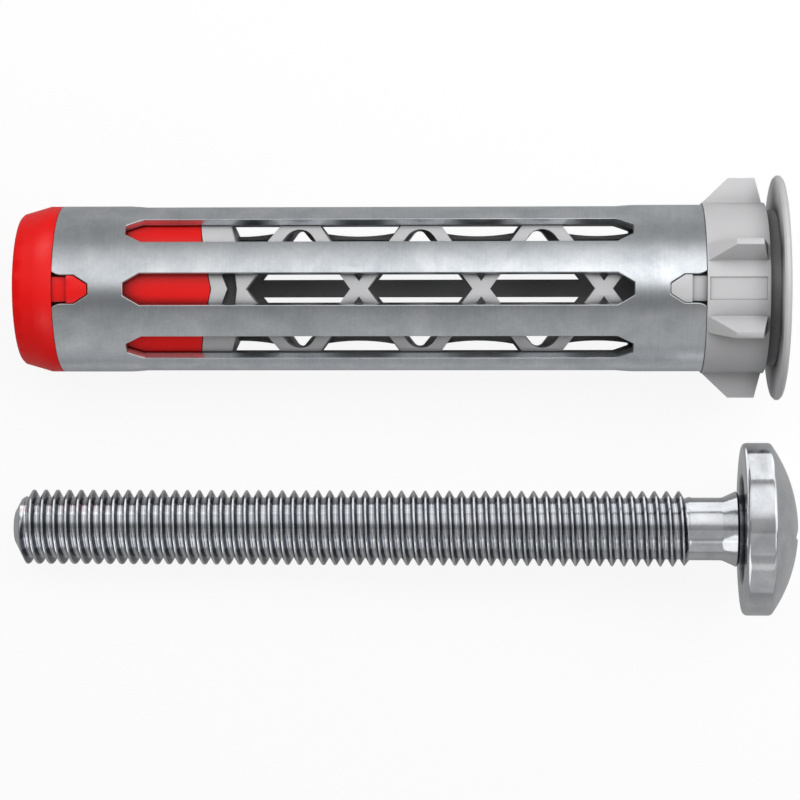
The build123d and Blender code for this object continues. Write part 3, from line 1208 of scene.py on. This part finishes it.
@dataclass(frozen=True)
class Lamp:
    """An area lamp that the camera doesn't see, placed in millimetres. A radiance of 1 shows as white."""

    name: str
    place: tuple[float, float, float]
    size: Pair
    radiance: float
    aim: tuple[float, float, float] | None = None
    lights: tuple[str, ...] = ()

    def hang(self, pieces: dict[str, Object]) -> Object:
        """Hangs the lamp, facing the point that it aims at, or else straight down.

        Args:
            pieces: The lit objects by name. The lamp reaches all, or only those that it names.

        Returns:
            The lamp's object.
        """
        data = bpy.data.lights.new(self.name, "AREA")
        data.shape = "RECTANGLE"
        data.size = self.size[0] * MM
        data.size_y = self.size[1] * MM
        data.energy = self.radiance * math.pi * data.size * data.size_y
        lamp = bpy.data.objects.new(self.name, data)
        lamp.location = Vector(self.place) * MM
        lamp.visible_camera = False
        if self.aim is not None:
            line = Vector(self.aim) - Vector(self.place)
            lamp.rotation_euler = line.to_track_quat("-Z", "Y").to_euler()
        if self.lights:
            lit = bpy.data.collections.new(f"lit_by_{self.name}")
            for name in self.lights:
                lit.objects.link(pieces[name])
            lamp.light_linking.receiver_collection = lit
        bpy.context.scene.collection.objects.link(lamp)
        return lamp


@dataclass(frozen=True)
class SoftBox:
    """A wide soft box that hangs level: its glow changes across the pair and fades towards the noses.

    A colour ramp holds nothing above 1, so it gets the glow as a share of its peak.
    """

    name: str
    lights: tuple[str, ...]
    glow: tuple[Pair, ...]
    height: float = 84.0
    length: float = 260.0
    fade: Pair = (-38.0, 26.0)
    dim: float = 0.5
    peak: float = 2.0

    def hang(self, pieces: dict[str, Object]) -> None:
        """Hangs the box and grades its glow.

        Args:
            pieces: The lit objects by name.
        """
        near, far = self.glow[0][0], self.glow[-1][0]
        middle = (0.0, (near + far) / 2, self.height)
        lamp = Lamp(self.name, middle, (self.length, far - near), 1.0, lights=self.lights).hang(pieces)
        lamp.data.use_nodes = True
        tree = lamp.data.node_tree
        tree.nodes.clear()
        spot = add(tree, "ShaderNodeNewGeometry").outputs["Position"]
        place = add(tree, "ShaderNodeSeparateXYZ", {"Vector": spot}).outputs
        across = add(tree, "ShaderNodeMapRange", {"Value": place["Y"], SPAN: (near * MM, far * MM)})
        glow = add(tree, "ShaderNodeValToRGB", {"Fac": across.outputs[0]})
        set_stops(glow, [((y - near) / (far - near), light / self.peak) for y, light in self.glow])
        along = add(
            tree,
            "ShaderNodeMapRange",
            {
                "Value": place["X"],
                SPAN: (self.fade[0] * MM, self.fade[1] * MM),
                RESULT: (self.peak * self.dim, self.peak),
            },
            interpolation_type="SMOOTHSTEP",
        )
        graded = {0: glow.outputs["Color"], 1: along.outputs[0]}
        strength = add(tree, "ShaderNodeMath", graded, operation="MULTIPLY").outputs[0]
        glowing = add(tree, "ShaderNodeEmission", {"Strength": strength})
        add(tree, "ShaderNodeOutputLight", {"Surface": glowing.outputs[0]})


@dataclass
class Studio:
    """Plain studio: pale floor, two soft boxes above the far side, and grey surroundings.

    One soft box is the screw's, and the other lights the rest. Metal shows a bright band on their side and a
    dark one below it. Some lamps light only one piece, as if each had been photographed by itself.
    """

    lens: float = 112.5
    camera_at: tuple[float, float, float] = (-0.2, -0.22, 171.0)
    floor_size: float = 3000.0
    floor_colour: str = "B6B6B6"
    seen_share: float = 0.6
    mirrored_share: float = 0.13
    background_strength: float = 1.49
    surroundings: tuple[Pair, ...] = (
        (-180, 0.4),
        (-70, 0.4),
        (-40, 0.28),
        (-33, 0.24),
        (-27, 0.04),
        (-7, 0.04),
        (2, 0.25),
        (14, 0.3),
        (60, 0.24),
        (180, 0.24),
    )
    nose_side: Pair = (-0.75, -0.2)
    nose_side_share: float = 0.35
    lamps: tuple[SoftBox | Lamp, ...] = (
        SoftBox(
            "anchor_box",
            ("sleeve", "cap", "cage", "nut", "floor"),
            ((8.5, 0.7), (15.5, 1.38), (30, 1.22), (46, 1.1), (74, 0.73), (99, 0.5), (137, 0.28)),
        ),
        SoftBox(
            "screw_box",
            ("screw",),
            ((12, 0), (18, 0.32), (27, 0.6), (42, 0.8), (62, 0.87), (108, 0.82), (128, 0.6), (150, 0.3)),
            dim=0.8,
        ),
        Lamp("end_light", (105, 10, 90), (120, 50), 1.0, aim=(12, 10, 6)),
        Lamp("cap_fill", (-22, -30, 150), (300, 300), 0.4, lights=("cap",)),
        Lamp("cap_key", (-45, 85, 55), (60, 40), 4.5, aim=(-23, 7, 6), lights=("cap",)),
        Lamp("cap_near_light", (-40, -62, 70), (60, 30), 2.4, aim=(-23, 7, 6), lights=("cap",)),
        Lamp("cage_fill", (10, 75, 110), (120, 90), 0.72, aim=(22, 7, 6), lights=("cage",)),
        Lamp("flange_light", (-60, 25, 30), (60, 40), 1.35, aim=(24, 7, 7), lights=("cage",)),
        Lamp("sleeve_strip", (0, -1.6, 6.2), (53, 7.5), 0.12, aim=(0, 7, 6.2), lights=("sleeve",)),
        Lamp("screw_fill", (0, -36, 90), (200, 47), 0.28, lights=("screw",)),
        Lamp("screw_near_strip", (0, -68, 62), (240, 12), 0.28, aim=(0, -9, 6), lights=("screw",)),
        Lamp("screw_nose_light", (-63, -94, 60), (110, 90), 0.9, aim=(20, -9, 5), lights=("screw",)),
        Lamp("dome_light", (110, 30, 30), (90, 60), 0.9, aim=(24, -9, 6), lights=("screw",)),
        Lamp("thread_strip", (-2.6, -1.2, 6.3), (48.6, 5.8), 1.0, aim=(-2.6, -9, 6.3), lights=("screw",)),
        Lamp("head_strip", (24.6, -1.2, 9.15), (5.5, 4.9), 0.92, aim=(24.6, -9, 9.15), lights=("screw",)),
    )

    def build(self, pieces: dict[str, Object]) -> None:
        """Sets up the camera, the floor, the surroundings and the lamps.

        Args:
            pieces: The pieces by name, some of which have lamps of their own.
        """
        bpy.context.scene.view_settings.view_transform = "Standard"
        self.set_camera()
        self.set_surroundings()
        lit = {**pieces, "floor": self.lay_floor()}
        for lamp in self.lamps:
            lamp.hang(lit)

    def set_camera(self) -> None:
        """Puts the camera straight above the pair, as in the photograph."""
        data = bpy.data.cameras.new("camera")
        data.lens = self.lens
        data.sensor_width = 36.0
        data.sensor_fit = "HORIZONTAL"
        data.clip_start = 0.005
        data.clip_end = 10.0
        camera = bpy.data.objects.new("camera", data)
        camera.location = [c * MM for c in self.camera_at]
        bpy.context.scene.collection.objects.link(camera)
        bpy.context.scene.camera = camera

    def background_share(self, tree: NodeTree) -> NodeSocket:
        """Works out how far a ray sees the white background instead of the real surroundings.

        Args:
            tree: The node tree of the floor or the world.

        Returns:
            The share's socket: high for the eye and through glass, low in a mirror finish.
        """
        path = add(tree, "ShaderNodeLightPath").outputs
        rays = {0: path["Is Camera Ray"], 1: path["Is Transmission Ray"]}
        straight = add(tree, "ShaderNodeMath", rays, operation="MAXIMUM").outputs[0]
        seen = add(tree, "ShaderNodeMath", {0: straight, 1: self.seen_share}, operation="MULTIPLY").outputs[0]
        mirrored = {0: path["Is Glossy Ray"], 1: self.mirrored_share, 2: seen}
        return add(tree, "ShaderNodeMath", mirrored, operation="MULTIPLY_ADD").outputs[0]

    def lay_floor(self) -> Object:
        """Lays a pale floor that looks white and still takes the shadow of the pair.

        Returns:
            The floor's object.
        """
        shape = bmesh.new()
        bmesh.ops.create_grid(shape, x_segments=1, y_segments=1, size=self.floor_size * MM / 2)
        mesh = bpy.data.meshes.new("floor")
        shape.to_mesh(mesh)
        shape.free()
        floor = bpy.data.objects.new("floor", mesh)
        bpy.context.scene.collection.objects.link(floor)
        material = bpy.data.materials.new("matt_white_board")
        material.use_nodes = True
        tree = material.node_tree
        tree.nodes.clear()
        board = add(tree, "ShaderNodeBsdfDiffuse", {"Color": linear(self.floor_colour)})
        white = add(tree, "ShaderNodeEmission", {"Strength": self.background_strength})
        layers = {"Fac": self.background_share(tree), 1: board.outputs[0], 2: white.outputs[0]}
        mixed = add(tree, "ShaderNodeMixShader", layers)
        add(tree, "ShaderNodeOutputMaterial", {"Surface": mixed.outputs[0]})
        mesh.materials.append(material)
        return floor

    def set_surroundings(self) -> None:
        """Makes the surroundings: grey walls, with a dark gap beside the soft box and a dim nose side."""
        world = bpy.data.worlds.new("studio")
        bpy.context.scene.world = world
        world.use_nodes = True
        tree = world.node_tree
        tree.nodes.clear()
        around = add(tree, "ShaderNodeTexCoord").outputs["Generated"]
        ray = add(tree, "ShaderNodeSeparateXYZ", {"Vector": around}).outputs
        angle = add(tree, "ShaderNodeMath", {0: ray["Y"], 1: ray["Z"]}, operation="ARCTAN2").outputs[0]
        turn = add(tree, "ShaderNodeMapRange", {"Value": angle, SPAN: (-math.pi, math.pi)})
        ramp = add(tree, "ShaderNodeValToRGB", {"Fac": turn.outputs[0]})
        set_stops(ramp, [((degrees + 180) / 360, light) for degrees, light in self.surroundings])
        dims = {"Value": ray["X"], SPAN: self.nose_side, "To Min": self.nose_side_share}
        dimmed = add(tree, "ShaderNodeMapRange", dims).outputs[0]
        walls = add(tree, "ShaderNodeBackground", {"Color": ramp.outputs["Color"], "Strength": dimmed})
        white = add(tree, "ShaderNodeBackground", {"Color": (1.0, 1.0, 1.0, 1.0)})
        layers = {"Fac": self.background_share(tree), 1: walls.outputs[0], 2: white.outputs[0]}
        mixed = add(tree, "ShaderNodeMixShader", layers)
        add(tree, "ShaderNodeOutputWorld", {"Surface": mixed.outputs[0]})


def main() -> None:
    """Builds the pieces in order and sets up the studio."""
    logging.basicConfig(level=logging.INFO, format="%(name)s: %(message)s")
    red = MouldedPlastic(name="polyamide_red_moulded", colour="EC0806", shade="E40604", specular=0.25)
    grey = MouldedPlastic(
        name="polyamide_grey_moulded", colour="EBEBEC", shade="E1E1E3", bore_painted_shade="929292"
    )
    zinc = ZincPlatedSteel()
    pieces = {
        "sleeve": PunchedSleeve(GalvanisedSheet()),
        "cap": CarriedNode("end_cap", red, edge_mm=0.07),
        "cage": CarriedNode("flanged_cage", grey, edge_mm=0.05),
        "nut": HexagonNut(zinc),
        "screw": MachineScrew(zinc),
    }
    built = {}
    for name, piece in pieces.items():
        built[name] = piece.build()
        faces = len(built[name].data.polygons)
        LOG.info("%s: %s, %d faces", name, built[name].data.materials[0].name, faces)
    Studio().build(built)


if __name__ == "__main__":
    main()
